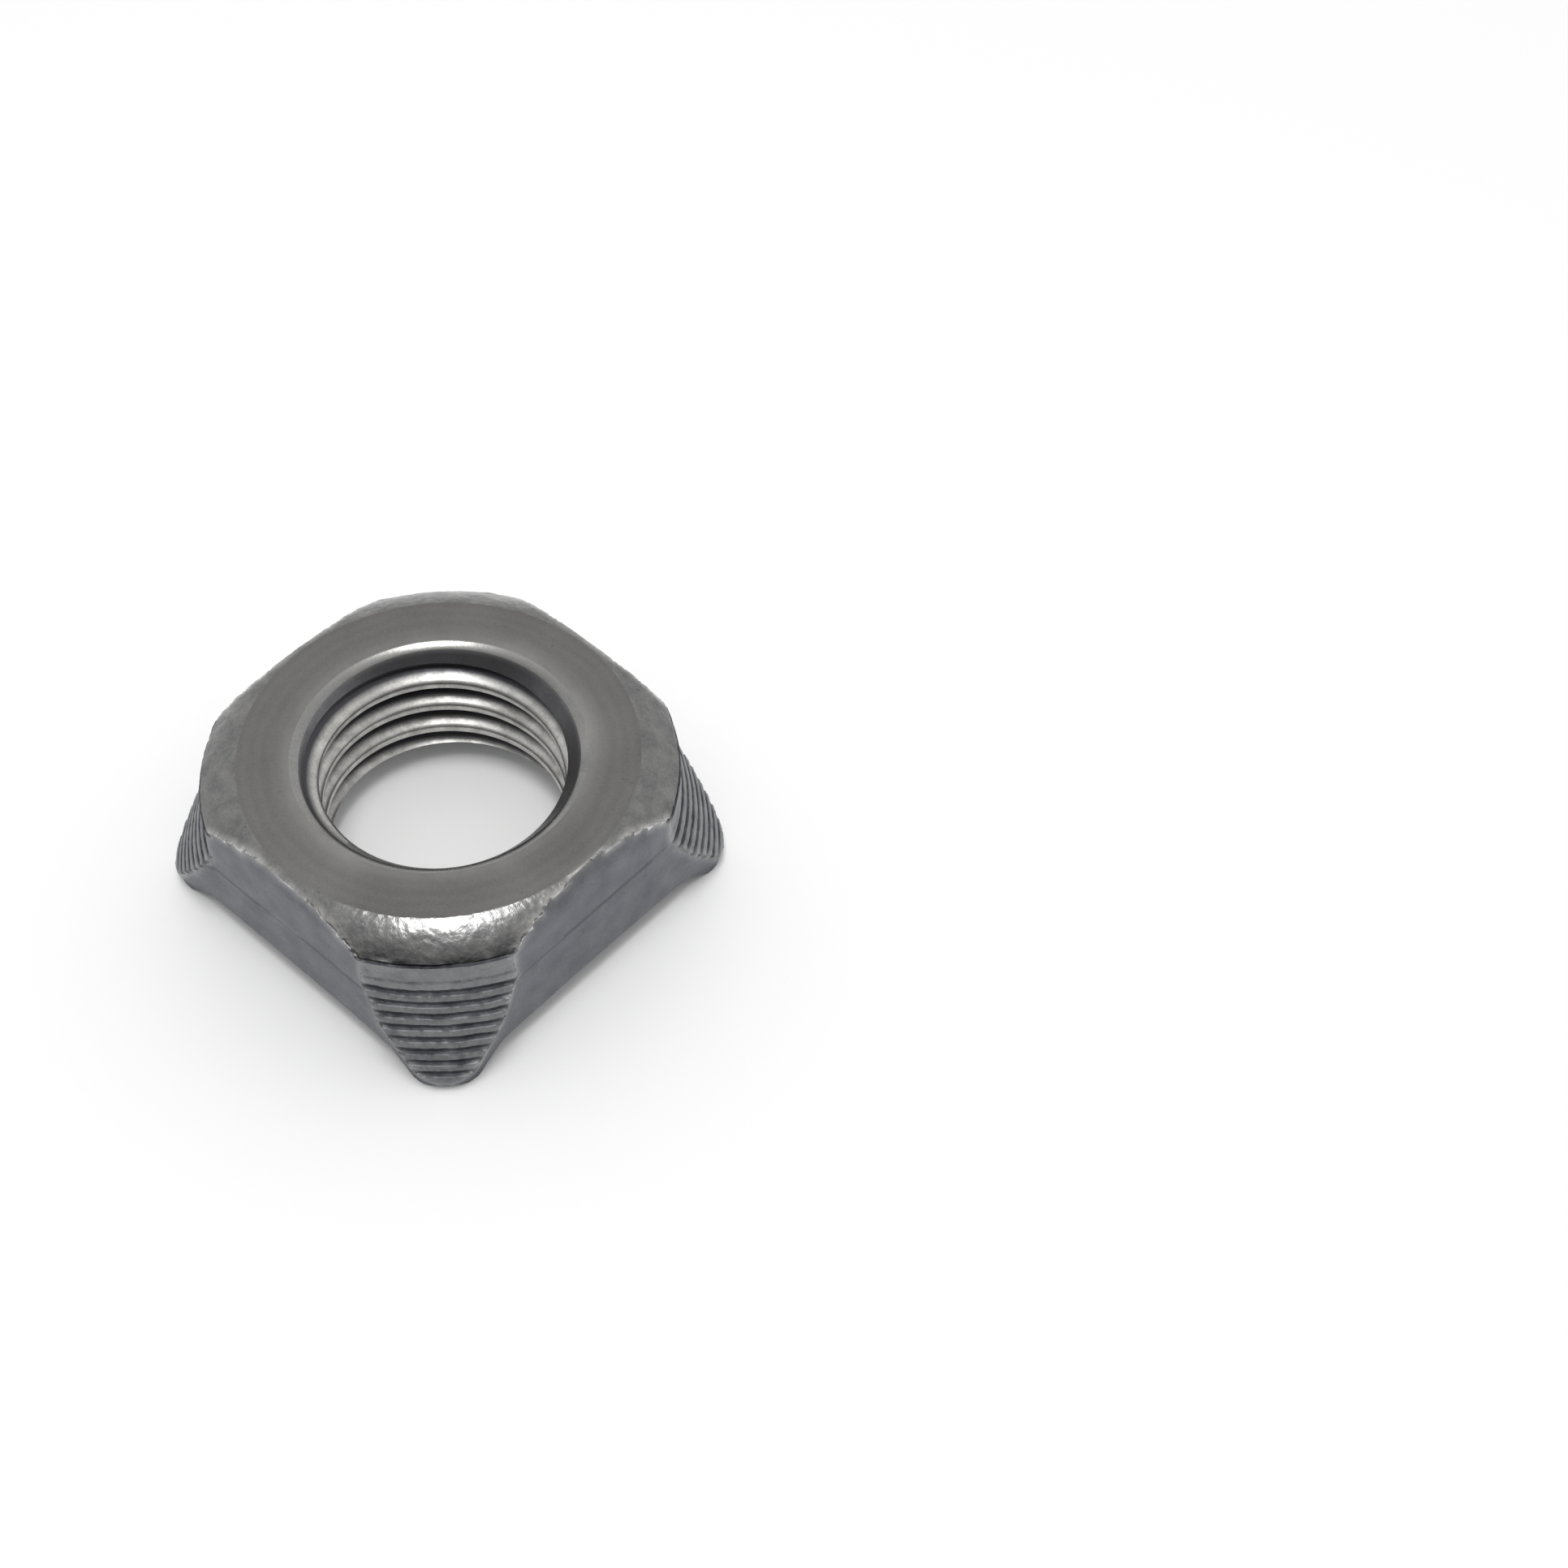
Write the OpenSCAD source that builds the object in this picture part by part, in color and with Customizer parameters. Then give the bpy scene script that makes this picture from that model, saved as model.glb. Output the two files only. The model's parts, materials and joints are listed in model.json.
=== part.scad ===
// Square weld nut with four flared, ribbed weld horns.
// Millimetres, +Z up. The origin lies on the bore axis in the plane of the four horn feet;
// the flat sides face +X, -X, +Y and -Y, and the horns point along the diagonals.

/* [Body] */
// width across the flat sides
across_flats = 24; // [22:0.5:26]
// height from the horn feet to the top face
height = 9.85; // [9:0.05:11]
// diameter of the flat circle left on the top face by the corner chamfer
top_flat_diameter = 23.2; // [21:0.2:24]
// slope of the corner chamfer below the top face, in degrees
chamfer_angle = 30; // [20:1:40]
// radius of the worn edge between top face and chamfer
chamfer_edge_radius = 0.6; // [0.2:0.1:1.2]
// diameter to which the four corners are turned
corner_diameter = 26.9; // [26.4:0.1:28]

/* [Weld horns] */
// diameter over the four horns
horn_diameter = 32.1; // [30:0.1:33]
// height above the feet at which the horns begin to flare
flare_start = 6.4; // [5.5:0.1:7]
// height above the feet of the widest part of the horns
flare_end = 0.8; // [0.5:0.1:1.2]
// angle by which each horn's flanks lean out of the flat sides, in degrees
flank_angle = 7; // [0:0.5:9]
// distance from the middle of a side at which the flank begins
flank_start = 6.1; // [5.5:0.1:7]
// height of the underside above the feet, near the bore
underside_height = 1.55; // [1.2:0.05:1.9]
// radial width of the foot each horn stands on
foot_width = 0.4; // [0.2:0.05:0.6]
// radius, seen from above, to which each horn tip is rounded
tip_radius = 3.4; // [3.4:0.1:6]

/* [Ribs] */
// number of grooves across each horn, where that many fit on the flare
groove_count = 8; // [4:1:8]
// height of the uppermost groove above the feet
groove_top = 6.1; // [5.5:0.1:6.2]
// height between neighbouring grooves
groove_pitch = 0.68; // [0.5:0.01:0.7]
// width of a groove
groove_width = 0.34; // [0.2:0.02:0.4]
// depth of a groove
groove_depth = 0.16; // [0.05:0.01:0.2]

/* [Bore] */
// diameter of the bore, at the crests of the thread
bore_diameter = 13.84; // [13:0.02:14.4]
// diameter of the countersink at the top
countersink_diameter = 15.9; // [15:0.1:16.6]
// full angle of the countersink at the top, in degrees
countersink_angle = 75; // [60:5:90]
// radius of the worn rim around the countersink
rim_radius = 0.5; // [0.2:0.05:0.8]
// diameter of the countersink in the underside
lower_countersink_diameter = 15; // [14.6:0.1:16]

/* [Hidden] */
$fn = 120;
// straight pieces in each rounded edge of a section
arc_steps = 6;
// how far the cutting shapes run past the faces they cut
margin = 1;

half_width = across_flats / 2;
flat_radius = top_flat_diameter / 2;
corner_radius = corner_diameter / 2;
horn_radius = horn_diameter / 2;
bore_radius = bore_diameter / 2;
sink_radius = countersink_diameter / 2;
lower_sink_radius = lower_countersink_diameter / 2;

// chamfer and the worn edge above it
chamfer_foot = height - (corner_radius - flat_radius) * tan(chamfer_angle);
chamfer_edge_reach = chamfer_edge_radius * tan(chamfer_angle / 2);

// horn: taper per millimetre of height, and the foot inside its widest part
flare_slope = (horn_radius - corner_radius) / (flare_start - flare_end);
foot_rounding = 0.4;
foot_outer = horn_radius - foot_rounding;
foot_inner = foot_outer - foot_width;

// underside: flat near the bore, then curving down to a lip, with a short slope from there to the foot
inner_slope_width = 0.9;
lip_radius = foot_inner - inner_slope_width;
lip_height = underside_height * 0.62;
dome_start = half_width - 1;

// plan: corner where two leaning flanks would meet, and the round body from which the tips stand out
horn_corner = (half_width - flank_start * tan(flank_angle)) / (1 - tan(flank_angle));
tip_centre = horn_radius - tip_radius;
tip_reach = 1.05;
round_body_radius = horn_radius - tip_reach;

// grooves that fit on the flare, the lowest first, and the width of a groove's flat floor
groove_floor = groove_width * 0.4;
groove_heights = [
    for (i = [groove_count - 1 : -1 : 0])
        let (z = groove_top - i * groove_pitch)
        if (z - groove_width / 2 > flare_end && z + groove_width / 2 < flare_start) z
];

// countersink: slope of its wall from the top face, and the height at which the worn rim meets it
sink_slope = 90 - countersink_angle / 2;
sink_height = height - rim_radius * (1 - cos(sink_slope));
thread_end = sink_height - (sink_radius - bore_radius) / tan(countersink_angle / 2);
thread_start = underside_height + lower_sink_radius - bore_radius;
rim_reach = rim_radius * sin(sink_slope);

// radius of the smooth horn at a height above the feet
function horn_at(z) = horn_radius - max(0, min(z, flare_start) - flare_end) * flare_slope;

// one groove across the horn, from its lower lip to its upper lip
function groove(z) = [
    [horn_at(z - groove_width / 2), z - groove_width / 2],
    [horn_at(z - groove_floor / 2) - groove_depth, z - groove_floor / 2],
    [horn_at(z + groove_floor / 2) - groove_depth, z + groove_floor / 2],
    [horn_at(z + groove_width / 2), z + groove_width / 2]
];

// underside from the flat outward, falling in a shallow curve to the lip of the horn
function underside() = [
    for (i = [0 : arc_steps])
        let (t = i / arc_steps)
        [dome_start + t * (lip_radius - dome_start), underside_height - t * t * (underside_height - lip_height)]
];

// foot of the horn and its rounding up to the widest part
function horn_foot() = concat(
    [[foot_inner, 0]],
    [for (i = [0 : arc_steps])
        let (a = 90 * i / arc_steps)
        [foot_outer + foot_rounding * sin(a), flare_end * (1 - cos(a))]]
);

// worn edge between chamfer and top face
function shoulder() = [
    for (i = [0 : arc_steps])
        let (a = chamfer_angle * (1 - i / arc_steps))
        [flat_radius - chamfer_edge_reach + chamfer_edge_radius * sin(a),
         height - chamfer_edge_radius * (1 - cos(a))]
];

// worn rim between countersink and top face
function rim() = [
    for (i = [0 : arc_steps])
        let (a = sink_slope * (1 - i / arc_steps))
        [sink_radius + rim_reach - rim_radius * sin(a), height - rim_radius * (1 - cos(a))]
];

// section of the whole turned shape, from the axis below to the axis above
module body_section() {
    polygon(concat(
        [[0, underside_height]],
        underside(),
        horn_foot(),
        [for (z = groove_heights) each groove(z)],
        [[corner_radius, flare_start], [corner_radius, chamfer_foot]],
        shoulder(),
        [[0, height]]
    ));
}

// section of the bore: threaded length, a countersink at each end and the worn rim at the top
module bore_section() {
    polygon(concat(
        [
            [0, -margin],
            [lower_sink_radius + underside_height + margin, -margin],
            [bore_radius, thread_start],
            [bore_radius, thread_end]
        ],
        rim(),
        [[sink_radius + rim_reach, height + margin], [0, height + margin]]
    ));
}

// square bar with the horn flanks leaning out at its four corners
module bar() {
    translate([0, 0, -margin])
        linear_extrude(height + 2 * margin)
            polygon([
                for (k = [0 : 3])
                    let (c = cos(90 * k), s = sin(90 * k))
                    each [
                        [half_width * c + flank_start * s, half_width * s - flank_start * c],
                        [half_width * c - flank_start * s, half_width * s + flank_start * c],
                        [horn_corner * (c - s), horn_corner * (s + c)]
                    ]
            ]);
}

// round body and the rounded ends of the four horns, seen from above
module tip_rounding() {
    translate([0, 0, -margin]) {
        cylinder(r = round_body_radius, h = height + 2 * margin);
        for (a = [45 : 90 : 315])
            rotate(a)
                translate([tip_centre, 0, 0])
                    cylinder(r = tip_radius, h = height + 2 * margin);
    }
}

// the nut, one solid piece of steel
module weld_nut() {
    color([0.42, 0.42, 0.43])
        difference() {
            intersection() {
                bar();
                tip_rounding();
                rotate_extrude()
                    body_section();
            }
            rotate_extrude()
                bore_section();
        }
}

weld_nut();
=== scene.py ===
# %% [markdown]
# # A square weld nut
# The nut is one piece of steel: a square body with a threaded bore, and four ribbed horns that flare
# out at the corners down to narrow feet. A maker would crop a bar, press the horns, turn the top and
# tap the bore. This lesson follows the same order with Blender's own tools: a section is drawn and
# turned as on a lathe, a square bar cuts the flat sides, and a long screw-shaped cutter makes the thread.

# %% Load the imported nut
import json
import math

import bpy
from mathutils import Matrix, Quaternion, Vector, kdtree


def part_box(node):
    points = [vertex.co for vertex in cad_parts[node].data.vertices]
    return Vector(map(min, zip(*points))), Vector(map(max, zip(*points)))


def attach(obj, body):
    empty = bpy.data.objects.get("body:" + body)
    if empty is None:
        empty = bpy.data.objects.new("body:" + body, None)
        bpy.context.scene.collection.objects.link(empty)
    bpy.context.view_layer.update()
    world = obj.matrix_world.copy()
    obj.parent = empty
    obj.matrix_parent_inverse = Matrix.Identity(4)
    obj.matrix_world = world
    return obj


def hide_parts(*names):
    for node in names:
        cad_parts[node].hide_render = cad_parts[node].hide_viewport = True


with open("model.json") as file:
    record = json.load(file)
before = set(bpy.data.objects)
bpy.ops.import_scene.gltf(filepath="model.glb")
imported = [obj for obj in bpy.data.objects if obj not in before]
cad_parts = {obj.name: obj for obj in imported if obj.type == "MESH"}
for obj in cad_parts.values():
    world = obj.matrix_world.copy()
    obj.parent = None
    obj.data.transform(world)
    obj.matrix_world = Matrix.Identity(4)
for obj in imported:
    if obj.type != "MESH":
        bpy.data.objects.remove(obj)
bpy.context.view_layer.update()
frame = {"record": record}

# %% [markdown]
# ## Sizes
# Everything is written in millimetres, because that is how the nut is drawn, and the finished mesh is
# brought to metres at the end. Working large also keeps small cuts clean: several of Blender's tools
# treat points closer than a ten-thousandth of a unit as one. The height and the bore come from the
# packed nut, and the rest are the nut's own driving sizes.

# %% Sizes of the nut in millimetres
MM = 0.001
thread_mount = next(m for m in frame["record"]["mounts"] if m["name"] == "thread")
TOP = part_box("weld_nut")[1].z / MM
BORE_RADIUS = thread_mount["dims"]["r_mm"]
THREAD_LENGTH = thread_mount["dims"]["length_mm"]
THREAD_MIDDLE = thread_mount["pos_m"][2] / MM
THREAD_LOW = THREAD_MIDDLE - THREAD_LENGTH / 2
THREAD_HIGH = THREAD_MIDDLE + THREAD_LENGTH / 2
HALF_WIDTH = 12.0
FLAT_RADIUS = 11.3
CORNER_RADIUS = 13.5
CHAMFER_END = (13.4, 8.55)
HORN_RADIUS = 16.05
FLARE_START = 6.4
FLARE_END = 0.8
UNDERSIDE = 1.55
RIM_OUTER = 8.36
RIM_INNER = 7.87
RIM_DROP = 0.28
LOWER_SINK_RADIUS = 7.5
print("top face at", round(TOP, 3), "mm")
print("thread from", round(THREAD_LOW, 3), "to", round(THREAD_HIGH, 3), "mm")

# %% [markdown]
# ## Working by hand in code
# An operator acts on whatever is selected, so each step first lets go of everything, then picks what
# it needs by place. These few helpers do that, and apply a modifier as soon as it is set.


# %% Helpers
def let_go():
    """Leave edit mode and deselect every object."""
    if bpy.context.object and bpy.context.object.mode != "OBJECT":
        bpy.ops.object.mode_set(mode="OBJECT")
    bpy.ops.object.select_all(action="DESELECT")


def take(obj):
    """Make one object the only selected and the active one."""
    let_go()
    obj.select_set(True)
    bpy.context.view_layer.objects.active = obj
    return obj


def apply_modifier(obj, kind, **settings):
    """Add a modifier, set it, and apply it at once."""
    take(obj)
    modifier = obj.modifiers.new(kind.lower(), kind)
    for name, value in settings.items():
        setattr(modifier, name, value)
    bpy.ops.object.modifier_apply(modifier=modifier.name)


def cut(body, tool, operation):
    """Combine body with tool, then throw the tool away."""
    apply_modifier(body, "BOOLEAN", operation=operation, solver="MANIFOLD", object=tool)
    bpy.data.objects.remove(tool)


def pick(obj, test, domain="FACE"):
    """In edit mode, select the faces or vertices of obj that pass a test of their place and normal."""
    take(obj)
    bpy.ops.object.mode_set(mode="EDIT")
    bpy.ops.mesh.select_mode(type="FACE" if domain == "FACE" else "VERT")
    bpy.ops.mesh.select_all(action="DESELECT")
    bpy.ops.object.mode_set(mode="OBJECT")
    mesh = obj.data
    if domain == "FACE":
        chosen = [test(face.center, face.normal) for face in mesh.polygons]
        mesh.polygons.foreach_set("select", chosen)
    else:
        chosen = [test(vertex.co, vertex.normal) for vertex in mesh.vertices]
        mesh.vertices.foreach_set("select", chosen)
    bpy.ops.object.mode_set(mode="EDIT")
    return sum(chosen)


def spread(corners, step):
    """Add points along each straight stretch of a chain so that none is longer than step."""
    chain = [corners[0]]
    for start, end in zip(corners, corners[1:]):
        count = max(1, math.ceil((end - start).length / step))
        chain += [start.lerp(end, i / count) for i in range(1, count + 1)]
    return chain


def arc(centre, radius, start, end, steps):
    """Points on a circle round centre, from one angle to another in degrees."""
    angles = [math.radians(start + (end - start) * i / steps) for i in range(steps + 1)]
    return [centre + radius * Vector((math.cos(a), math.sin(a))) for a in angles]


# %% [markdown]
# ## The section of the turned shape
# Cut the nut in half through two horns and the cut face shows one outline: bore, countersink, worn
# rim, top face, chamfer, a short upright band, the flared horn with its ribs, the foot, and the hollow
# underside. The outline is a chain of (radius, height) points. Stretches that catch the light, such as
# the chamfer and the ribs, get many points, and the hidden ones few.

# %% Draw the outline
RIB_PITCH = 0.68
RIB_WIDTH = 0.38
RIB_DEPTH = 0.17
RIB_FLOOR = 0.18
TOP_RIB = 6.1
RIB_COUNT = 8
FAINT_RIB = 6.87
FAINT_DEPTH = 0.03
SHOULDER_RADIUS = 0.25
CHAMFER_TILT = 19.0
CHAMFER_STEPS = 20
RIM_CROWN = 22.0
CRISP = 0.04
FOLD_DEPTH = 0.09
FOLD_WIDTH = 0.17
FOOT_ROUNDING = 0.6
FOOT_WIDTH = 0.25
INNER_SLOPE = 1.1
LIP_HEIGHT = UNDERSIDE * 0.9
DOME_START = HALF_WIDTH - 1
FINE = 0.12
COARSE = 0.7
SINK_STEP = 0.3
FACE_STEP = 0.4
BORE_STEP = 1.5
RIM_STEPS = 8
SHOULDER_STEPS = 4
FOOT_TURN = 15


def horn_radius(z):
    """Radius of the smooth horn and the upright band above it, at a height."""
    reach = max(0.0, min(z, FLARE_START) - FLARE_END) / (FLARE_START - FLARE_END)
    return HORN_RADIUS - reach * (HORN_RADIUS - CORNER_RADIUS)


def rib_groove(z, depth):
    """The dip between two ribs, from its upper lip down to its lower lip."""
    edges = [(RIB_WIDTH / 2, 0), (RIB_FLOOR / 2, depth), (-RIB_FLOOR / 2, depth), (-RIB_WIDTH / 2, 0)]
    return [Vector((horn_radius(z + rise) - dip, z + rise)) for rise, dip in edges]


def crowned(start, end, turn, steps):
    """A slightly bulging stretch from start to end, whose direction turns by an angle in degrees."""
    chord = end - start
    out = Vector((-chord.y, chord.x)).normalized()
    radius = chord.length / 2 / math.sin(math.radians(turn / 2))
    sink = radius * math.cos(math.radians(turn / 2))
    points = []
    for i in range(steps + 1):
        along = (i / steps - 0.5) * math.radians(turn)
        across = chord.normalized() * radius * math.sin(along)
        points.append((start + end) / 2 + across + out * (radius * math.cos(along) - sink))
    return points


def rolling(start, end, tilt, steps):
    """A stretch that leaves start at a tilt in degrees and grows steeper towards end."""
    width = end.x - start.x
    first_drop = width * math.tan(math.radians(tilt))
    rest = start.y - end.y - first_drop
    shares = [i / steps for i in range(steps + 1)]
    return [Vector((start.x + width * t, start.y - first_drop * t - rest * t * t)) for t in shares]


shoulder_reach = SHOULDER_RADIUS * math.tan(math.radians(CHAMFER_TILT / 2))
shoulder_centre = Vector((FLAT_RADIUS - shoulder_reach, TOP - SHOULDER_RADIUS))
foot_outer = HORN_RADIUS - FOOT_ROUNDING
foot_inner = foot_outer - FOOT_WIDTH
lip_radius = foot_inner - INNER_SLOPE

bore_wall = [Vector((BORE_RADIUS, THREAD_LOW)), Vector((BORE_RADIUS, THREAD_HIGH))]
rim = crowned(Vector((RIM_INNER, TOP - RIM_DROP)), Vector((RIM_OUTER, TOP)), RIM_CROWN, RIM_STEPS)
countersink = spread([bore_wall[-1], rim[0]], SINK_STEP)
shoulder = arc(shoulder_centre, SHOULDER_RADIUS, 90, 90 - CHAMFER_TILT, SHOULDER_STEPS)
beside_rim = rim[-1] + Vector((CRISP, 0))
beside_shoulder = shoulder[0] - Vector((CRISP, 0))
top_face = [rim[-1]] + spread([beside_rim, beside_shoulder], FACE_STEP) + [shoulder[0]]
chamfer_end = Vector(CHAMFER_END)
chamfer = rolling(shoulder[-1], chamfer_end, CHAMFER_TILT, CHAMFER_STEPS)
fold = [
    chamfer_end,
    chamfer_end + Vector((-FOLD_DEPTH, -FOLD_WIDTH * 0.3)),
    chamfer_end + Vector((-FOLD_DEPTH, -FOLD_WIDTH * 0.75)),
    Vector((CORNER_RADIUS, chamfer_end.y - FOLD_WIDTH)),
]
ribs = rib_groove(FAINT_RIB, FAINT_DEPTH)
for i in range(RIB_COUNT):
    ribs += rib_groove(TOP_RIB - i * RIB_PITCH, RIB_DEPTH)
foot_angles = [math.radians(a) for a in range(0, 91, FOOT_TURN)]
foot = [
    Vector((foot_outer + FOOT_ROUNDING * math.cos(a), FLARE_END * (1 - math.sin(a))))
    for a in foot_angles
]
underside = [
    Vector((DOME_START + t * (lip_radius - DOME_START), UNDERSIDE - t * t * (UNDERSIDE - LIP_HEIGHT)))
    for t in (1, 0.83, 0.67, 0.5, 0.33, 0.17, 0)
]
outline = spread(bore_wall, BORE_STEP) + countersink[1:] + rim[1:] + top_face[1:]
outline += shoulder[1:] + chamfer[1:] + spread(fold, FINE)[1:]
outline += spread(fold[-1:] + ribs + foot[:1], FINE)[1:] + foot[1:]
outline += spread([foot[-1], Vector((foot_inner, 0))] + underside, COARSE)[1:]
outline += spread([underside[-1], Vector((LOWER_SINK_RADIUS, UNDERSIDE)), bore_wall[0]], COARSE)[1:-1]
print("outline has", len(outline), "points")

# %% [markdown]
# ## Turning the blank
# On the real nut the top, the chamfer and the ribs are round. Here one vertex is extruded along the
# outline, as with the E key, and the chain is closed. Spin could turn it, but it slows down badly with
# hundreds of fine steps, so a Screw modifier with no rise turns it instead. The seam is merged and the
# normals are recalculated, because a turned shape can come out facing inwards.

# %% Turn the outline round the bore
TURN_STEPS = 720
CLOSE = 0.001


def draw_chain(name, points):
    """Extrude one vertex through (radius, height) points in the XZ plane and close the chain."""
    let_go()
    bpy.ops.mesh.primitive_plane_add(size=1)
    chain = bpy.context.object
    chain.name = name
    bpy.ops.object.mode_set(mode="EDIT")
    bpy.ops.mesh.merge(type="CENTER")
    bpy.ops.transform.translate(value=(points[0].x, 0, points[0].y))
    for start, end in zip(points, points[1:] + points[:1]):
        move = (end.x - start.x, 0, end.y - start.y)
        bpy.ops.mesh.extrude_region_move(TRANSFORM_OT_translate={"value": move})
    bpy.ops.mesh.select_all(action="SELECT")
    bpy.ops.mesh.remove_doubles(threshold=CLOSE)
    bpy.ops.object.mode_set(mode="OBJECT")
    return chain


def face_outwards(body):
    """Merge doubles, close open ends and point every face outwards."""
    take(body)
    bpy.ops.object.mode_set(mode="EDIT")
    bpy.ops.mesh.select_all(action="SELECT")
    bpy.ops.mesh.remove_doubles(threshold=CLOSE)
    bpy.ops.mesh.fill_holes(sides=0)
    bpy.ops.mesh.select_all(action="SELECT")
    bpy.ops.mesh.normals_make_consistent(inside=False)
    bpy.ops.object.mode_set(mode="OBJECT")


nut = draw_chain("weld_nut_body", outline)
apply_modifier(
    nut, "SCREW", axis="Z", angle=math.tau, screw_offset=0, iterations=1,
    steps=TURN_STEPS, render_steps=TURN_STEPS, use_merge_vertices=True, merge_threshold=CLOSE,
)
face_outwards(nut)
print("turned blank:", len(nut.data.polygons), "faces")

# %% [markdown]
# ## The square bar and the horn flanks
# The flat sides are those of a square bar: a plane whose corners are bevelled round, extruded upwards.
# A pair of tilted bisects lets the lower part of each side stand a hair further in, which is the faint
# line along the middle of the real sides. A close net of further bisects gives the sides enough points
# to be shaped: their upper edges roll in, row by row, as pressing left them, and near the corners they
# bulge out under the ribbed tongue of each horn. The bulge is a Displace modifier held by a vertex
# group: nothing along the bottom edge, and most where the tongue's own edge will be, so that the tongue
# overhangs its flanks a little.

# %% Shape the bar
FLANK_START = 6.1
FLANK_END = 7.5
FLANK_BULGE = 0.6
CORNER_ROUNDING = 2.7
CORNER_STEPS = 10
FLANK_FOOT = 1.3
FLANK_FOOT_SLOPE = 1.2
SIDE_LINE = 5.7
SIDE_LINE_SLOPE = Vector((0.033, 0.029, 0))
SIDE_STEP = 0.05
STEP_HEIGHT = 0.1
MARGIN = 1.0
NET = 0.32
ROLL_START = 8.3
ROLLED_EDGES = [(0, 1, 0.6), (1, -1, 0.35), (0, -1, 0.4), (1, 1, 0.4)]


def slice_all(place, normal):
    """Cut every face along a plane and keep both halves."""
    bpy.ops.mesh.select_all(action="SELECT")
    bpy.ops.mesh.bisect(plane_co=place, plane_no=normal)


def below_side_line(co):
    """How far a point lies under the faint line along the sides."""
    return SIDE_LINE + SIDE_LINE_SLOPE.dot(co) - co.z


def roll_in(bar, heights):
    """Draw the upper rows of each side inwards, more and more towards the top."""
    height_left = TOP - ROLL_START
    done = 0.0
    for height in heights:
        share = ((height - ROLL_START) / height_left) ** 2
        for axis, side, depth in ROLLED_EDGES:
            pick(bar, lambda co, no: co.z > height - CLOSE and co[axis] * side > HALF_WIDTH - 1, "VERT")
            move = [0.0, 0.0, 0.0]
            move[axis] = -side * depth * (share - done)
            bpy.ops.transform.translate(value=move)
        done = share


def flank_share(co):
    """How far a point of the bar takes part in the bulge of the horn flanks, from 0 to 1."""
    radius = math.hypot(co.x, co.y)
    along = (min(abs(co.x), abs(co.y)) - FLANK_START) / (FLANK_END - FLANK_START)
    low = max(0.0, min(FLANK_FOOT, (HORN_RADIUS - radius) * FLANK_FOOT_SLOPE - FLANK_FOOT / 2))
    flare = (FLARE_START - FLARE_END) / (HORN_RADIUS - CORNER_RADIUS)
    high = max(FLARE_END, min(FLARE_START, FLARE_END + (HORN_RADIUS - radius) * flare))
    up = (co.z - low) / (high - low)
    return max(0.0, min(1.0, along)) * max(0.0, min(1.0, up))


let_go()
bpy.ops.mesh.primitive_plane_add(size=2 * HALF_WIDTH)
bar = bpy.context.object
bar.name = "bar"
bpy.ops.object.mode_set(mode="EDIT")
bpy.ops.transform.translate(value=(0, 0, -MARGIN))
bpy.ops.mesh.bevel(offset=CORNER_ROUNDING, segments=CORNER_STEPS, affect="VERTICES")
bpy.ops.mesh.select_all(action="SELECT")
bpy.ops.mesh.extrude_region_move(TRANSFORM_OT_translate={"value": (0, 0, TOP + 2 * MARGIN)})
bpy.ops.mesh.select_all(action="SELECT")
bpy.ops.mesh.normals_make_consistent(inside=False)
for side in (-FLANK_START, FLANK_START):
    slice_all((side, 0, 0), (1, 0, 0))
    slice_all((0, side, 0), (0, 1, 0))
line_normal = Vector((0, 0, 1)) - SIDE_LINE_SLOPE
for drop in (0, STEP_HEIGHT):
    slice_all((0, 0, SIDE_LINE - drop), line_normal)
rows = [NET * i for i in range(1, int((TOP + MARGIN) / NET))]
columns = [NET * i for i in range(-int(HALF_WIDTH / NET), int(HALF_WIDTH / NET) + 1)]
for height in rows:
    slice_all((0, 0, height), (0, 0, 1))
for column in columns:
    slice_all((column, 0, 0), (1, 0, 0))
    slice_all((0, column, 0), (0, 1, 0))
pick(bar, lambda co, no: below_side_line(co) > STEP_HEIGHT - CLOSE, "VERT")
draw_in = 1 - SIDE_STEP / HALF_WIDTH
bpy.ops.transform.resize(value=(draw_in, draw_in, 1), center_override=(0, 0, 0))
roll_in(bar, [height for height in rows if height > ROLL_START])
bpy.ops.object.mode_set(mode="OBJECT")
flank = bar.vertex_groups.new(name="flank")
for vertex in bar.data.vertices:
    flank.add([vertex.index], flank_share(vertex.co), "REPLACE")
apply_modifier(bar, "DISPLACE", strength=FLANK_BULGE, mid_level=0, vertex_group="flank")
print("bar:", len(bar.data.polygons), "faces")

# %% [markdown]
# ## Flat sides and horns
# The chamfer, the ribs and the feet are round, but they show only at the four corners, between flat
# sides. One Boolean that keeps what the turned blank and the bar share gives both at once. The Manifold
# solver suits it, because both shapes are closed and it stays quick with this many faces.

# %% Cut the flat sides
cut(nut, bar, "INTERSECT")
print("nut with flat sides:", len(nut.data.polygons), "faces")

# %% [markdown]
# ## The thread
# The real thread is cut by a tap: a coarse right-hand thread with a two millimetre pitch. A textured
# wall would look flat from the side, so the cutter is modelled: the shape of one tooth gap is drawn and
# a Screw modifier winds it upwards, past both ends of the bore, and then it is taken out of the nut.

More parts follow.
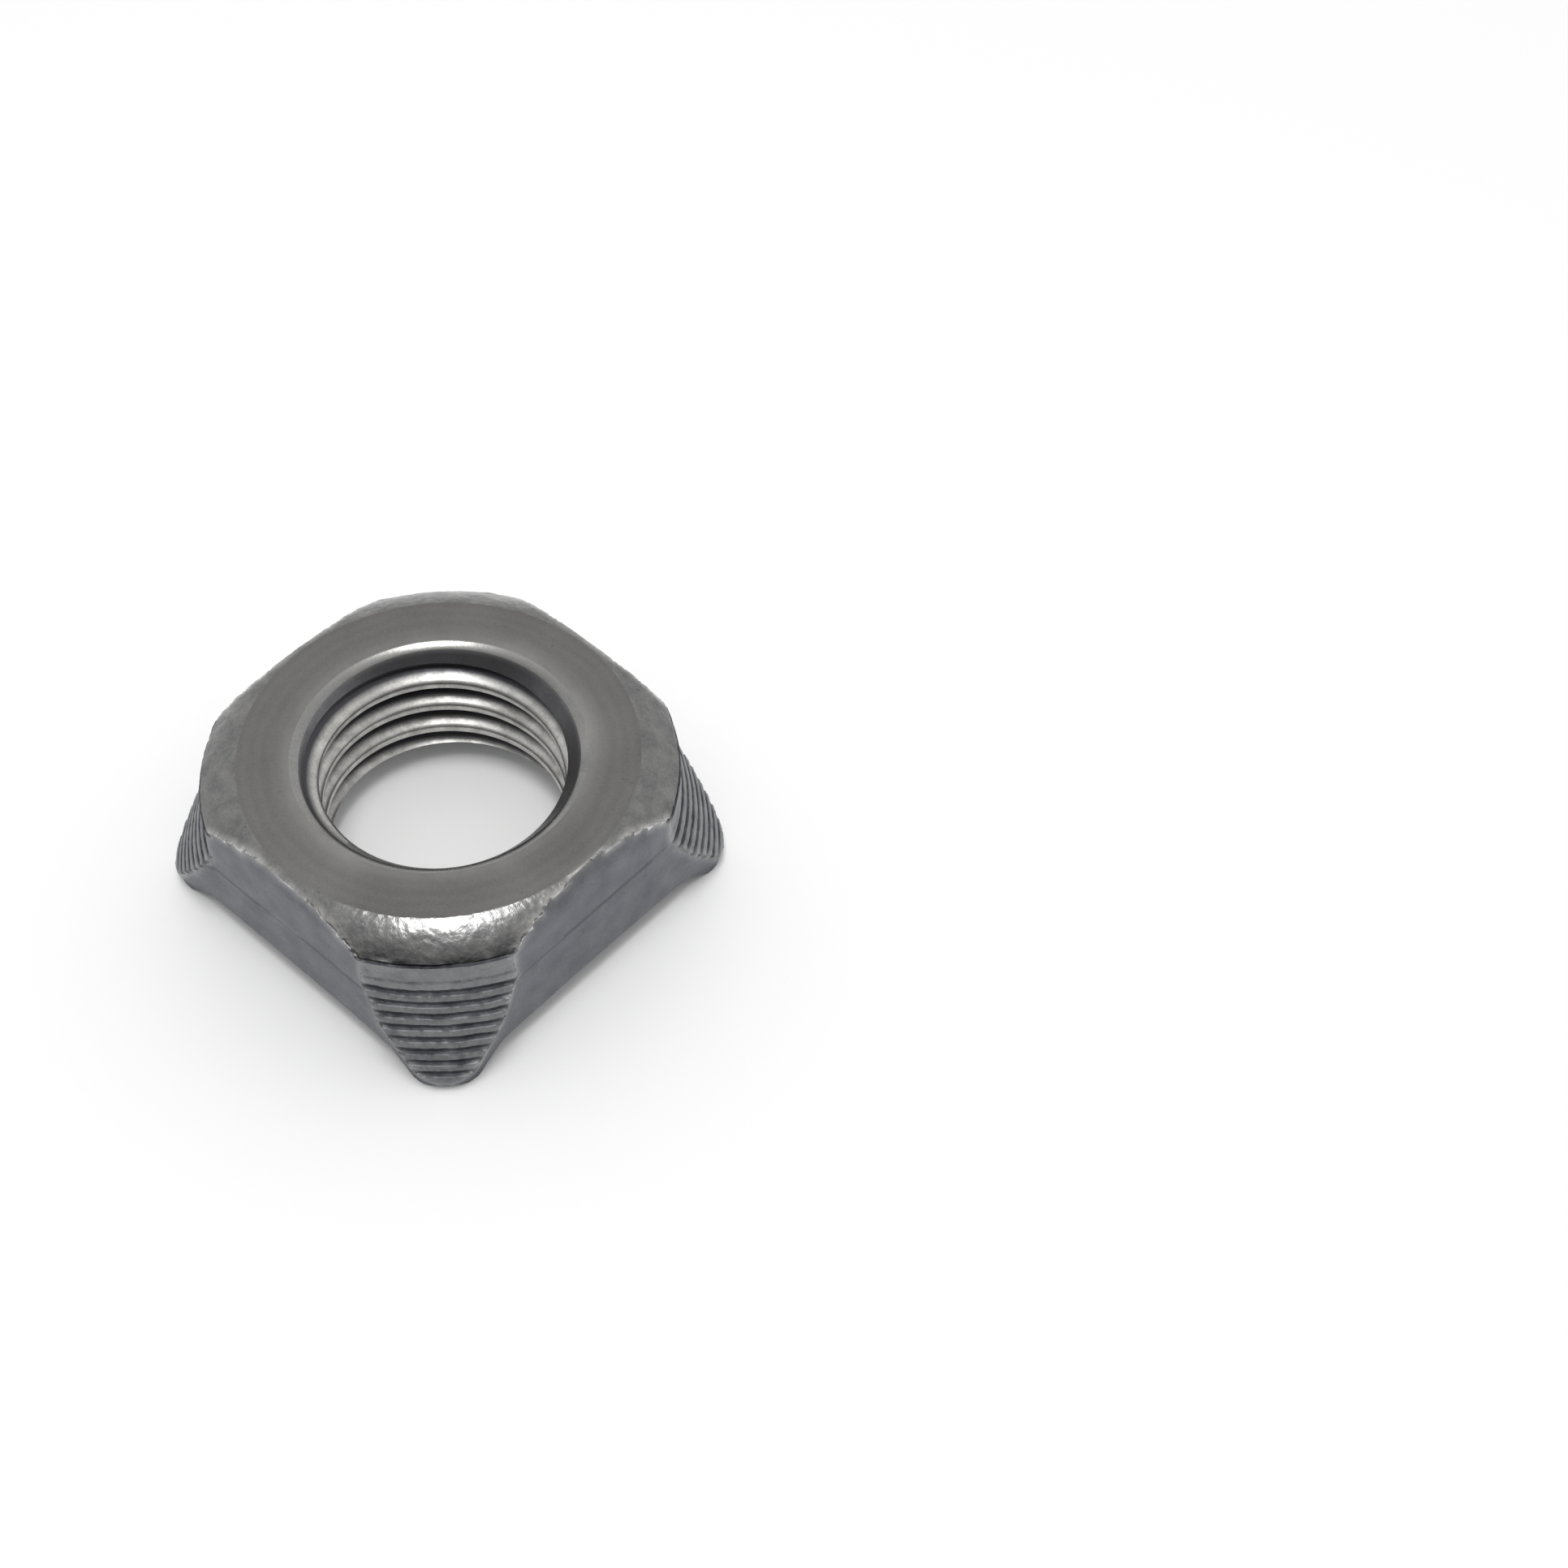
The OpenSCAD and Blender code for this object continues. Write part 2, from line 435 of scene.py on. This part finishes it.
# %% Wind the thread cutter and cut
PITCH = 2.0
ROOT_RADIUS = 8.0
ROOT_FLAT = PITCH / 8
FLANK_HALF_ANGLE = 30.0
CUTTER_INSIDE = 0.35
THREAD_TURNS = 7
THREAD_STEPS = 144
THREAD_START = -2.3
CREST_EASE = 0.1
FLANK_STATIONS = (7.12, 7.4, 7.65, 7.84)
flank_run = math.tan(math.radians(FLANK_HALF_ANGLE))
crest_half = ROOT_FLAT / 2 + (ROOT_RADIUS - BORE_RADIUS) * flank_run
half_gap = [
    Vector((BORE_RADIUS - CUTTER_INSIDE, crest_half + CREST_EASE)),
    Vector((BORE_RADIUS - 0.02, crest_half + CREST_EASE)),
    Vector((BORE_RADIUS + CREST_EASE * 0.45, crest_half - CREST_EASE * 0.05)),
    Vector((BORE_RADIUS + CREST_EASE * 1.6, crest_half - CREST_EASE * 0.92)),
    *[Vector((r, ROOT_FLAT / 2 + (ROOT_RADIUS - r) * flank_run)) for r in FLANK_STATIONS],
    Vector((ROOT_RADIUS - 0.12, ROOT_FLAT / 2 + 0.07)),
    Vector((ROOT_RADIUS, ROOT_FLAT / 4)),
]
tooth_gap = half_gap + [Vector((p.x, -p.y)) for p in reversed(half_gap)]
cutter = draw_chain("thread_cutter", [p + Vector((0, THREAD_START)) for p in tooth_gap])
apply_modifier(
    cutter, "SCREW", axis="Z", angle=math.tau, screw_offset=PITCH, iterations=THREAD_TURNS,
    steps=THREAD_STEPS, render_steps=THREAD_STEPS,
)
face_outwards(cutter)
ring = len(tooth_gap)
first, second = cutter.data.vertices[0].co, cutter.data.vertices[ring].co
print("cutter:", len(cutter.data.polygons), "faces")
print("one step turns towards", round(second.y, 3), "and rises", round(second.z - first.z, 4))
cut(nut, cutter, "DIFFERENCE")
print("nut with thread:", len(nut.data.polygons), "faces")

# %% [markdown]
# ## Zones
# The same steel looks different where it was turned, pressed, sheared or tapped, so the faces are sorted
# into zones, and each zone gets its own finish. A turned face points straight away from the bore axis,
# and a sheared side does not, which is enough to tell the two apart where they meet on a horn. The
# countersink and its rim are known by their height at each radius.

# %% Sort the faces into zones
ZONES = [
    "faced_top", "burnished_chamfer", "sheared_side", "ribbed_horn", "tapped_bore", "worn_rim",
    "countersink",
]
TOP_FACE, CHAMFER, SIDE, HORN, BORE, RIM, SINK = range(len(ZONES))
FLAT_ENOUGH = 0.985
ON_TOP = 0.02
ON_CHAMFER = 0.03
CHAMFER_RISE = 0.2
CHAMFER_OUTWARD = 0.9
HORN_OUTWARD = 0.98
HORN_SKIN = RIB_DEPTH * 1.5
ON_SINK = 0.03
TILT_ERROR = 0.1
SINK_RISE = (TOP - RIM_DROP - THREAD_HIGH) / (RIM_INNER - BORE_RADIUS)
SINK_TILT = math.cos(math.atan(SINK_RISE))


def chamfer_height(radius):
    """Height of the chamfer at a radius, between the points of its outline."""
    for start, end in zip(chamfer, chamfer[1:]):
        if start.x <= radius <= end.x:
            return start.lerp(end, (radius - start.x) / (end.x - start.x)).y
    return TOP


def zone_of(place, normal):
    """The zone that a face belongs to, from its middle and the way it faces."""
    radius = math.hypot(place.x, place.y)
    level = math.hypot(normal.x, normal.y)
    outward = (place.x * normal.x + place.y * normal.y) / max(radius * level, CLOSE)
    if RIM_INNER < radius < RIM_OUTER and place.z > TOP - RIM_DROP:
        return RIM
    sink_height = THREAD_HIGH + (radius - BORE_RADIUS) * SINK_RISE
    tilted = abs(normal.z - SINK_TILT) < TILT_ERROR
    if radius < RIM_OUTER and abs(place.z - sink_height) < ON_SINK and tilted:
        return SINK
    if radius < RIM_OUTER and place.z > UNDERSIDE + CLOSE:
        return BORE
    if normal.z > FLAT_ENOUGH and place.z > TOP - ON_TOP:
        return TOP_FACE
    on_chamfer = abs(place.z - chamfer_height(radius)) < ON_CHAMFER
    if normal.z > CHAMFER_RISE and on_chamfer and outward > CHAMFER_OUTWARD:
        return CHAMFER
    on_horn = radius > horn_radius(place.z) - HORN_SKIN
    if outward > HORN_OUTWARD and on_horn and place.z > FLARE_END / 2:
        return HORN
    return SIDE


nut.data.materials.clear()
for name in ZONES:
    nut.data.materials.append(bpy.data.materials.new(name))
zones = [zone_of(face.center, face.normal) for face in nut.data.polygons]
nut.data.polygons.foreach_set("material_index", zones)
print("faces by zone:", {name: zones.count(i) for i, name in enumerate(ZONES)})

# %% [markdown]
# ## Wear
# Pressing and tumbling left the real nut uneven: the chamfer is dimpled, the ribs waver, and the edges
# are nicked. A bump map would vanish at the outline, so the points themselves are moved, with Displace
# modifiers whose cloud textures reach only the vertices of one group.

# %% Mark what is worn, then wear it
EDGE_SMOOTHING = 0.45


def group_of(name, indices):
    """A vertex group that holds these vertices."""
    group = nut.vertex_groups.new(name=name)
    group.add(sorted(indices), 1.0, "REPLACE")
    return group


def vertices_of(zone):
    """The vertices of every face in a zone."""
    return {i for face in nut.data.polygons if face.material_index == zone for i in face.vertices}


def wear(group, grain, depth, direction="NORMAL", level=0.5):
    """Push a group's vertices about by a cloud texture with patches of one size, in millimetres."""
    texture = bpy.data.textures.new(f"{group}_{grain}", "CLOUDS")
    texture.noise_scale = grain
    texture.noise_depth = 1
    apply_modifier(
        nut, "DISPLACE", texture=texture, texture_coords="LOCAL", direction=direction,
        strength=depth, mid_level=level, vertex_group=group,
    )


chamfer_skin = vertices_of(CHAMFER)
horn_skin = vertices_of(HORN)
side_skin = vertices_of(SIDE)
shoulder_edge = (chamfer_skin | horn_skin) & side_skin
group_of("chamfer_skin", chamfer_skin - side_skin)
group_of("horn_skin", horn_skin)
standing = {i for i in side_skin if nut.data.vertices[i].co.z < FLARE_END / 2}
group_of("side_skin", side_skin - horn_skin - chamfer_skin - standing)
group_of("edges", shoulder_edge)
fold_skin = {i for i in horn_skin if nut.data.vertices[i].co.z > chamfer_end.y - FOLD_WIDTH * 1.5}
group_of("fold_skin", fold_skin - chamfer_skin)
wear("chamfer_skin", 1.6, 0.035)
wear("chamfer_skin", 0.4, 0.03)
wear("chamfer_skin", 0.2, 0.012)
wear("fold_skin", 1.1, 0.3, "Z", 0.6)
wear("fold_skin", 0.3, 0.12, "Z")
wear("horn_skin", 1.3, 0.14, "Z")
wear("horn_skin", 0.35, 0.05)
wear("side_skin", 2.2, 0.035)
wear("edges", 0.45, 0.16, level=0.85)
pick(nut, lambda co, no: False, "VERT")
nut.vertex_groups.active_index = nut.vertex_groups["edges"].index
bpy.ops.object.vertex_group_select()
bpy.ops.mesh.vertices_smooth(factor=EDGE_SMOOTHING)
bpy.ops.object.mode_set(mode="OBJECT")
print("edge points softened:", len(shoulder_edge))

# %% [markdown]
# ## Masks for the finishes
# The dips between ribs, the fold under the chamfer, the faint line of the sides and the root of the
# thread get painted shade, and the dips between ribs partly oil and scale as well. Handling brightens the
# edges and the top face beside the bore. All of this follows the shape, so it is measured on the mesh and
# kept
# as attributes: the crevice mask is how deep a point lies, edge says how near a zone's border is, and
# rim_ring how near the rim is.

# %% Measure crevices and edges
EDGE_REACH = 0.6
RING_REACH = 1.1


def keep_attribute(name, values):
    """Store one number for each vertex, for the materials to read."""
    attribute = nut.data.attributes.new(name, "FLOAT", "POINT")
    attribute.data.foreach_set("value", values)


# The crevice mask marks the rib dips, the fold, the faint side line and the thread roots, where the
# finishes paint shade; in the rib dips it also stands for some oil and scale.
crevice_shade = [0.0] * len(nut.data.vertices)
for i in horn_skin:
    co = nut.data.vertices[i].co
    if co.z > FLARE_END:
        crevice_shade[i] = min(1.0, max(0.0, (horn_radius(co.z) - math.hypot(co.x, co.y)) / RIB_DEPTH))
for i in fold_skin:
    crevice_shade[i] = 1.0
for i in vertices_of(BORE):
    co = nut.data.vertices[i].co
    radius = math.hypot(co.x, co.y)
    crevice_shade[i] = min(1.0, max(0.0, (radius - BORE_RADIUS) / (ROOT_RADIUS - BORE_RADIUS)))
for i in side_skin:
    below = below_side_line(nut.data.vertices[i].co)
    if abs(below - STEP_HEIGHT / 2) < STEP_HEIGHT:
        crevice_shade[i] = 1.0
border = kdtree.KDTree(len(shoulder_edge))
for i in shoulder_edge:
    border.insert(nut.data.vertices[i].co, i)
border.balance()
edge = [max(0.0, 1 - border.find(v.co)[2] / EDGE_REACH) for v in nut.data.vertices]
keep_attribute("crevice_shade", crevice_shade)
keep_attribute("edge", edge)
flat_rings = [0.0] * len(nut.data.vertices)
for i in vertices_of(TOP_FACE):
    co = nut.data.vertices[i].co
    flat_rings[i] = max(0.0, 1 - (math.hypot(co.x, co.y) - RIM_OUTER) / RING_REACH)
keep_attribute("rim_ring", flat_rings)
print("points in crevices:", sum(c > 0.5 for c in crevice_shade), "near edges:", sum(e > 0 for e in edge))

# %% [markdown]
# ## To metres
# The mesh is finished, so it is scaled once to metres in edit mode, which leaves the object itself
# unscaled at the origin. Faces shade smooth except across real corners.

# %% Bring the nut to metres and fix it to the frame
SHARP = 38.0
take(nut)
bpy.ops.object.mode_set(mode="EDIT")
bpy.ops.mesh.select_all(action="SELECT")
bpy.ops.transform.resize(value=(MM, MM, MM), center_override=(0, 0, 0))
bpy.ops.object.mode_set(mode="OBJECT")
bpy.ops.object.shade_smooth_by_angle(angle=math.radians(SHARP))
nut.vertex_groups.clear()
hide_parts("weld_nut")
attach(nut, "root")
nut.data.calc_loop_triangles()
print("finished nut:", len(nut.data.loop_triangles), "triangles")

# %% [markdown]
# ## Unevenness that every finish shares
# Bare steel is never one grey. The group below mixes broad cloudy patches, fine grain and small pits,
# all on Object coordinates in metres, and hands back masks that each finish uses in its own measure.

# %% Build the uneven steel group


def add(tree, kind, **inputs):
    """A node of a kind, with some of its inputs set or linked."""
    node = tree.nodes.new(kind)
    for name, value in inputs.items():
        socket = node.inputs[name.replace("_", " ")]
        if isinstance(value, bpy.types.NodeSocket):
            tree.links.new(value, socket)
        else:
            socket.default_value = value
    return node


def blend_value(tree, mask, low, high):
    """A value that runs from low to high with a mask."""
    node = add(tree, "ShaderNodeMapRange", Value=mask, To_Min=low, To_Max=high)
    return node.outputs["Result"]


def blend_colour(tree, mask, dark, light):
    """A colour that runs from dark to light with a mask; either may be a socket."""
    node = tree.nodes.new("ShaderNodeMix")
    node.data_type = "RGBA"
    tree.links.new(mask, node.inputs["Factor"])
    for socket, colour in ((node.inputs[6], dark), (node.inputs[7], light)):
        if isinstance(colour, bpy.types.NodeSocket):
            tree.links.new(colour, socket)
        else:
            socket.default_value = (*colour, 1)
    return node.outputs[2]


def combine(tree, operation, first, second):
    """The sum, product or other combination of two values."""
    node = tree.nodes.new("ShaderNodeMath")
    node.operation = operation
    node.use_clamp = True
    for socket, value in zip(node.inputs, (first, second)):
        if isinstance(value, bpy.types.NodeSocket):
            tree.links.new(value, socket)
        else:
            socket.default_value = value
    return node.outputs[0]


# the mask, its scale input with a usual value, its detail, and the stretch of noise that becomes 0 to 1
UNEVENNESS = [
    ("Patch", "Patch Scale", 700.0, 4.0, 0.3, 0.7),
    ("Grain", "Grain Scale", 6000.0, 3.0, 0.32, 0.68),
    ("Pits", "Pit Scale", 2200.0, 2.0, 0.7, 0.8),
]
uneven = bpy.data.node_groups.new("uneven_steel", "ShaderNodeTree")
for mask_name, scale_name, scale, *rest in UNEVENNESS:
    socket = uneven.interface.new_socket(scale_name, in_out="INPUT", socket_type="NodeSocketFloat")
    socket.default_value = scale
    uneven.interface.new_socket(mask_name, in_out="OUTPUT", socket_type="NodeSocketFloat")
given = uneven.nodes.new("NodeGroupInput")
result = uneven.nodes.new("NodeGroupOutput")
where = uneven.nodes.new("ShaderNodeTexCoord").outputs["Object"]
for mask_name, scale_name, scale, detail, low, high in UNEVENNESS:
    size = given.outputs[scale_name]
    noise = add(uneven, "ShaderNodeTexNoise", Vector=where, Scale=size, Detail=detail)
    clear = add(uneven, "ShaderNodeMapRange", Value=noise.outputs["Fac"], From_Min=low, From_Max=high)
    uneven.links.new(clear.outputs["Result"], result.inputs[mask_name])
print("uneven steel group:", len(uneven.nodes), "nodes")

# %% [markdown]
# ## Steel finishes
# Each zone is the same metal with its own colour, gloss and relief. The top face is satin and slightly
# warm, the chamfer is burnished and mottled, the sheared sides are dull and bluish, the horns are dull
# with painted shade and some oil in their dips, the tapped bore is clean and bright, its countersink is
# coloured darker, and the rim of the countersink is worn smooth.

# %% Make one steel finish
MICRON = 1e-6
BRIGHT = (0.4, 0.395, 0.38)
RING_SCALE = 420.0
RING_STRENGTH = 0.04
PALE_RING = (0.12, 0.45)
PATCH_SHARE = 0.65
GRAIN_SHARE = 0.35
EDGE_FALLOFF = 2.0
EDGE_WEAR = (0.35, 1.0)
PIT_STRENGTH = 0.5
PIT_DARKNESS = 0.45
PIT_DEPTH = 0.6


def turning_marks(tree, colour, patches):
    """Faint rings left by the lathe, and a paler worn ring beside the bore."""
    place = tree.nodes.new("ShaderNodeTexCoord").outputs["Object"]
    rings = add(tree, "ShaderNodeTexWave", Vector=place, Scale=RING_SCALE, Distortion=2.5, Detail=2.0)
    rings.wave_type = "RINGS"
    rings.rings_direction = "Z"
    faint = combine(tree, "MULTIPLY", rings.outputs["Fac"], RING_STRENGTH)
    colour = blend_colour(tree, faint, colour, BRIGHT)
    worn_ring = tree.nodes.new("ShaderNodeAttribute")
    worn_ring.attribute_name = "rim_ring"
    paleness = blend_value(tree, patches, *PALE_RING)
    uneven_ring = combine(tree, "MULTIPLY", worn_ring.outputs["Fac"], paleness)
    return blend_colour(tree, uneven_ring, colour, BRIGHT)


def steel(
    name, dark, light, gloss, relief, scales, edge_colour, edge_gloss,
    crevice_shade_colour=None, crevice_shade_range=(0, 1, 1),
):
    """Set up a zone's material: colours and roughness over patches, relief in metres, brighter edges."""
    material = bpy.data.materials[name]
    material.use_nodes = True
    tree = material.node_tree
    shader = tree.nodes["Principled BSDF"]
    shader.inputs["Metallic"].default_value = 1.0
    group = tree.nodes.new("ShaderNodeGroup")
    group.node_tree = uneven
    for socket, scale in zip(group.inputs, scales):
        socket.default_value = scale
    patches, fine, holes = (group.outputs[n] for n in ("Patch", "Grain", "Pits"))
    cloudy = combine(tree, "MULTIPLY", patches, PATCH_SHARE)
    tone = combine(tree, "ADD", cloudy, combine(tree, "MULTIPLY", fine, GRAIN_SHARE))
    colour = blend_colour(tree, tone, dark, light)
    roughness = blend_value(tree, tone, gloss[0], gloss[1])
    nearness = tree.nodes.new("ShaderNodeAttribute")
    nearness.attribute_name = "edge"
    near = combine(tree, "POWER", nearness.outputs["Fac"], EDGE_FALLOFF)
    worn = combine(tree, "MULTIPLY", near, blend_value(tree, patches, *EDGE_WEAR))
    # Painted shade: the crevice colour darkens the base colour where the crevice mask is deep, unevenly
    # over the patches.
    if crevice_shade_colour:
        depth = tree.nodes.new("ShaderNodeAttribute")
        depth.attribute_name = "crevice_shade"
        low, high, weakest = crevice_shade_range
        mask = add(tree, "ShaderNodeMapRange", Value=depth.outputs["Fac"], From_Min=low, From_Max=high)
        shade_patchiness = blend_value(tree, patches, 1.0, weakest)
        painted_shade = combine(tree, "MULTIPLY", mask.outputs["Result"], shade_patchiness)
        colour = blend_colour(tree, painted_shade, colour, crevice_shade_colour)
    colour = blend_colour(tree, worn, colour, edge_colour)
    pitted = combine(tree, "MULTIPLY", holes, PIT_STRENGTH)
    colour = blend_colour(tree, pitted, colour, [c * PIT_DARKNESS for c in dark])
    if name == "faced_top":
        colour = turning_marks(tree, colour, patches)
    tree.links.new(colour, shader.inputs["Base Color"])
    mixed_gloss = add(tree, "ShaderNodeMix", Factor=worn)
    tree.links.new(roughness, mixed_gloss.inputs[2])
    mixed_gloss.inputs[3].default_value = edge_gloss
    tree.links.new(mixed_gloss.outputs[0], shader.inputs["Roughness"])
    height = combine(tree, "SUBTRACT", tone, combine(tree, "MULTIPLY", holes, PIT_DEPTH))
    bump = add(tree, "ShaderNodeBump", Height=height, Strength=1.0, Distance=relief)
    tree.links.new(bump.outputs["Normal"], shader.inputs["Normal"])
    print(name, "has", len(tree.nodes), "nodes")


steel(
    "faced_top", (0.135, 0.134, 0.13), (0.2, 0.196, 0.188), (0.34, 0.42), 3 * MICRON,
    (170, 9000, 1500), BRIGHT, 0.3,
)
steel(
    "burnished_chamfer", (0.14, 0.141, 0.145), (0.27, 0.268, 0.26), (0.3, 0.18), 12 * MICRON,
    (900, 5000, 1800), (0.78, 0.77, 0.74), 0.25,
)
# The dark crevice colours of the side, horn and bore are painted shade along the faint side line, in the
# rib dips (there with some oil) and at the thread roots.
steel(
    "sheared_side", (0.155, 0.159, 0.177), (0.213, 0.217, 0.235), (0.58, 0.46), 8 * MICRON,
    (600, 7000, 1600), (0.4, 0.4, 0.4), 0.35, (0.085, 0.087, 0.098), (0.0, 1.3, 1.0),
)
steel(
    "ribbed_horn", (0.23, 0.238, 0.25), (0.33, 0.34, 0.347), (0.68, 0.58), 8 * MICRON,
    (900, 6000, 1700), (0.36, 0.36, 0.36), 0.45, (0.06, 0.06, 0.071), (0.03, 0.36, 0.72),
)
steel(
    "tapped_bore", (0.36, 0.357, 0.343), (0.66, 0.652, 0.626), (0.42, 0.28), 6 * MICRON,
    (1200, 6000, 1800), BRIGHT, 0.2, (0.075, 0.075, 0.083), (0.3, 0.6, 1.0),
)
steel(
    "countersink", (0.17, 0.17, 0.18), (0.25, 0.25, 0.258), (0.4, 0.34), 4 * MICRON,
    (800, 6000, 1800), (0.2, 0.2, 0.2), 0.3,
)
steel(
    "worn_rim", (0.23, 0.229, 0.222), (0.34, 0.337, 0.326), (0.3, 0.22), 3 * MICRON,
    (500, 6000, 1800), BRIGHT, 0.25,
)

# %% [markdown]
# ## Floor, light and camera
# The nut stands on a plain white sheet under one soft box, above and a little in front. The room round
# it is pale overhead and behind the nut and dim in front, so that the metal has something to reflect.
# The floor adds a little light of its own only where a camera, mirror or glass ray sees it, which keeps
# the sheet white and the nut's shadow on it.

# %% Floor
FLOOR_SIZE = 4.0
FLOOR_WHITE = 0.93
FLOOR_LIFT = 0.05
let_go()
bpy.ops.mesh.primitive_plane_add(size=FLOOR_SIZE)
floor = bpy.context.object
floor.name = "floor"
paper = bpy.data.materials.new("white_sheet")
paper.use_nodes = True
tree = paper.node_tree
tree.nodes.remove(tree.nodes["Principled BSDF"])
matt = add(tree, "ShaderNodeBsdfDiffuse", Color=(FLOOR_WHITE, FLOOR_WHITE, FLOOR_WHITE, 1))
seen = tree.nodes.new("ShaderNodeLightPath").outputs
looked_at = combine(tree, "ADD", seen["Is Camera Ray"], seen["Is Glossy Ray"])
looked_at = combine(tree, "ADD", looked_at, seen["Is Transmission Ray"])
own_light = combine(tree, "MULTIPLY", looked_at, FLOOR_LIFT)
lift = add(tree, "ShaderNodeEmission", Color=(1, 1, 1, 1), Strength=own_light)
both = tree.nodes.new("ShaderNodeAddShader")
tree.links.new(matt.outputs[0], both.inputs[0])
tree.links.new(lift.outputs[0], both.inputs[1])
tree.links.new(both.outputs[0], tree.nodes["Material Output"].inputs["Surface"])
floor.data.materials.append(paper)
print("floor is", FLOOR_SIZE, "m wide")

# %% Light
ROOM_FRONT = (0.63, -0.777, 0.0)
DARK_FRONT = 0.07
PALE_BACK = 0.85
CEILING = 0.88
FRONT_FADE = (-0.2, 0.6)
CEILING_FADE = (0.5, 0.95)
SOFT_BOX_PLACE = (0.05, -0.062, 0.544)
SOFT_BOX_SIZE = (0.17, 0.23)
SOFT_BOX_POWER = 1.15
world = bpy.data.worlds.new("room")
bpy.context.scene.world = world
world.use_nodes = True
tree = world.node_tree
direction = tree.nodes.new("ShaderNodeTexCoord").outputs["Generated"]
height = add(tree, "ShaderNodeSeparateXYZ", Vector=direction).outputs["Z"]
frontness = tree.nodes.new("ShaderNodeVectorMath")
frontness.operation = "DOT_PRODUCT"
tree.links.new(direction, frontness.inputs[0])
frontness.inputs[1].default_value = ROOM_FRONT
walls = add(
    tree, "ShaderNodeMapRange", Value=frontness.outputs["Value"],
    From_Min=FRONT_FADE[0], From_Max=FRONT_FADE[1], To_Min=PALE_BACK, To_Max=DARK_FRONT,
)
glow = add(
    tree, "ShaderNodeMapRange", Value=height,
    From_Min=CEILING_FADE[0], From_Max=CEILING_FADE[1], To_Min=walls.outputs["Result"], To_Max=CEILING,
)
tree.links.new(glow.outputs["Result"], tree.nodes["Background"].inputs["Strength"])
tree.nodes["Background"].inputs["Color"].default_value = (1, 1, 1, 1)


def soft_light(name, place, aim, size, power):
    """A rectangular area light that faces a point; its size is given across and along the view."""
    lamp = bpy.data.lights.new(name, "AREA")
    lamp.shape = "RECTANGLE"
    lamp.size, lamp.size_y = size
    lamp.energy = power
    holder = bpy.data.objects.new(name, lamp)
    bpy.context.scene.collection.objects.link(holder)
    holder.location = place
    holder.rotation_euler = (Vector(aim) - Vector(place)).to_track_quat("-Z", "Y").to_euler()


soft_light("overhead_soft_box", SOFT_BOX_PLACE, (0, 0, 0), SOFT_BOX_SIZE, SOFT_BOX_POWER)

# %% [markdown]
# The camera stands where the photograph was taken from: its place and aim were worked out from the
# nut's corners and horn feet, and the picture is taken as square.

# %% Camera
CAMERA_PLACE = Vector((67.95, -53.07, 116.2)) * MM
CAMERA_AIM = Vector((10.79, 17.44, 0)) * MM
CAMERA_ROLL = 3.07
CAMERA_LENS = 55.53
SENSOR_WIDTH = 36.0
NEAREST = 0.005
view = bpy.data.cameras.new("camera")
view.lens = CAMERA_LENS
view.sensor_width = SENSOR_WIDTH
view.clip_start = NEAREST
camera = bpy.data.objects.new("camera", view)
bpy.context.scene.collection.objects.link(camera)
level = (CAMERA_AIM - CAMERA_PLACE).to_track_quat("-Z", "Y")
camera.rotation_mode = "QUATERNION"
camera.rotation_quaternion = level @ Quaternion((0, 0, 1), math.radians(CAMERA_ROLL))
camera.location = CAMERA_PLACE
bpy.context.scene.camera = camera
bpy.context.scene.view_settings.view_transform = "Standard"
print("camera is", round((CAMERA_AIM - CAMERA_PLACE).length, 3), "m from what it aims at")
